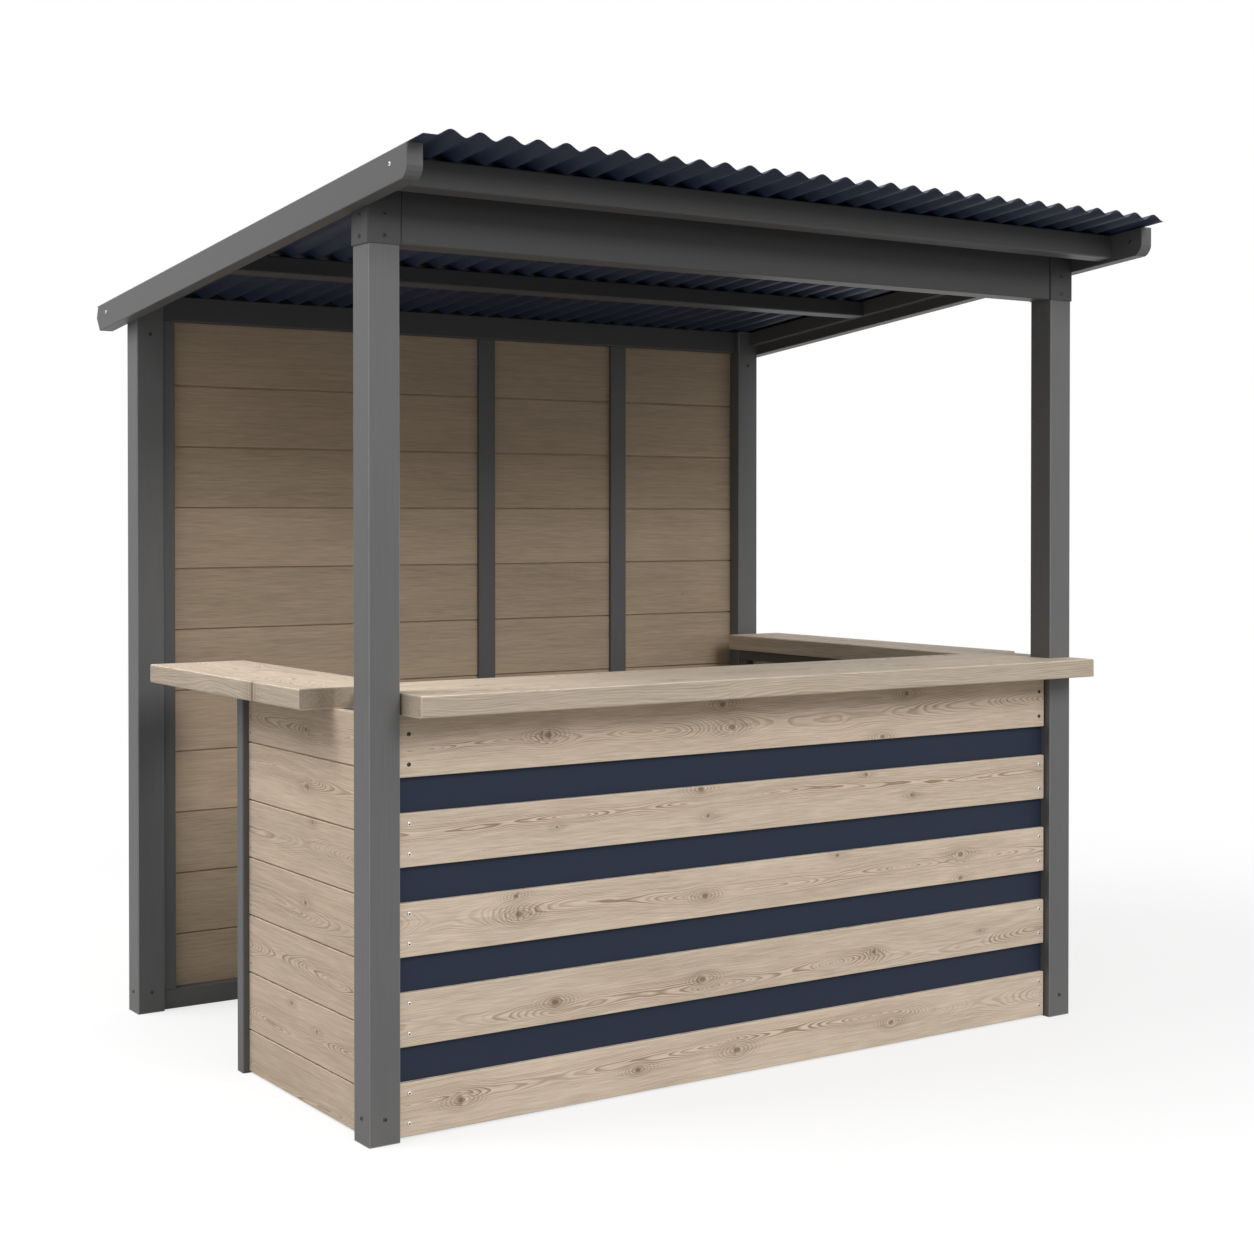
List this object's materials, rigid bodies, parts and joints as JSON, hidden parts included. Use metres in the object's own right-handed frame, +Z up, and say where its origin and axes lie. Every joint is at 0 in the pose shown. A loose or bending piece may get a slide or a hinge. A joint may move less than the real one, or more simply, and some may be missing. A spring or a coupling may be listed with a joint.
{
  "type": "garden bar",
  "caption": "Open garden bar with square metal posts, a low-pitched corrugated roof, a boarded back wall, a slatted front and timber counters on three sides.",
  "frame": {"origin": "middle of the object's box at ground level", "axes": "+Z up, +X to the right along the front counter, +Y towards the boarded back wall"},
  "size_m": [2.366, 2.0446, 2.2611],
  "materials": {
    "frame_metal": "satin dark grey powder coat",
    "roof_metal": "satin navy coating",
    "wall_boards": "matt oiled pine",
    "navy_panel": "matt navy paint",
    "slats": "matt pale pine",
    "counters": "satin pale pine"
  },
  "bodies": {
    "root": {"post_front_left": "frame_metal", "post_front_right": "frame_metal", "post_rear_left": "frame_metal", "post_rear_right": "frame_metal", "sleeve_front_left": "frame_metal", "sleeve_front_right": "frame_metal", "front_header": "frame_metal", "rear_header": "frame_metal", "left_rafter": "frame_metal", "right_rafter": "frame_metal", "left_ledger": "frame_metal", "right_ledger": "frame_metal", "front_purlin": "frame_metal", "mid_purlin": "frame_metal", "roof_sheet": "roof_metal", "rear_bottom_rail": "frame_metal", "rear_stud_left": "frame_metal", "rear_batten_left": "frame_metal", "rear_batten_right": "frame_metal", "rear_boards": "wall_boards", "front_panel": "navy_panel", "front_slat_1": "slats", "front_slat_2": "slats", "front_slat_3": "slats", "front_slat_4": "slats", "front_slat_5": "slats", "front_top_rail": "frame_metal", "front_bottom_rail": "frame_metal", "front_stud": "frame_metal", "left_boards": "wall_boards", "left_end_post": "frame_metal", "left_top_rail": "frame_metal", "left_bottom_rail": "frame_metal", "right_boards": "wall_boards", "right_stud": "frame_metal", "right_top_rail": "frame_metal", "right_bottom_rail": "frame_metal", "front_counter": "counters", "left_counter": "counters", "right_counter": "counters"}
  },
  "joints": []
}
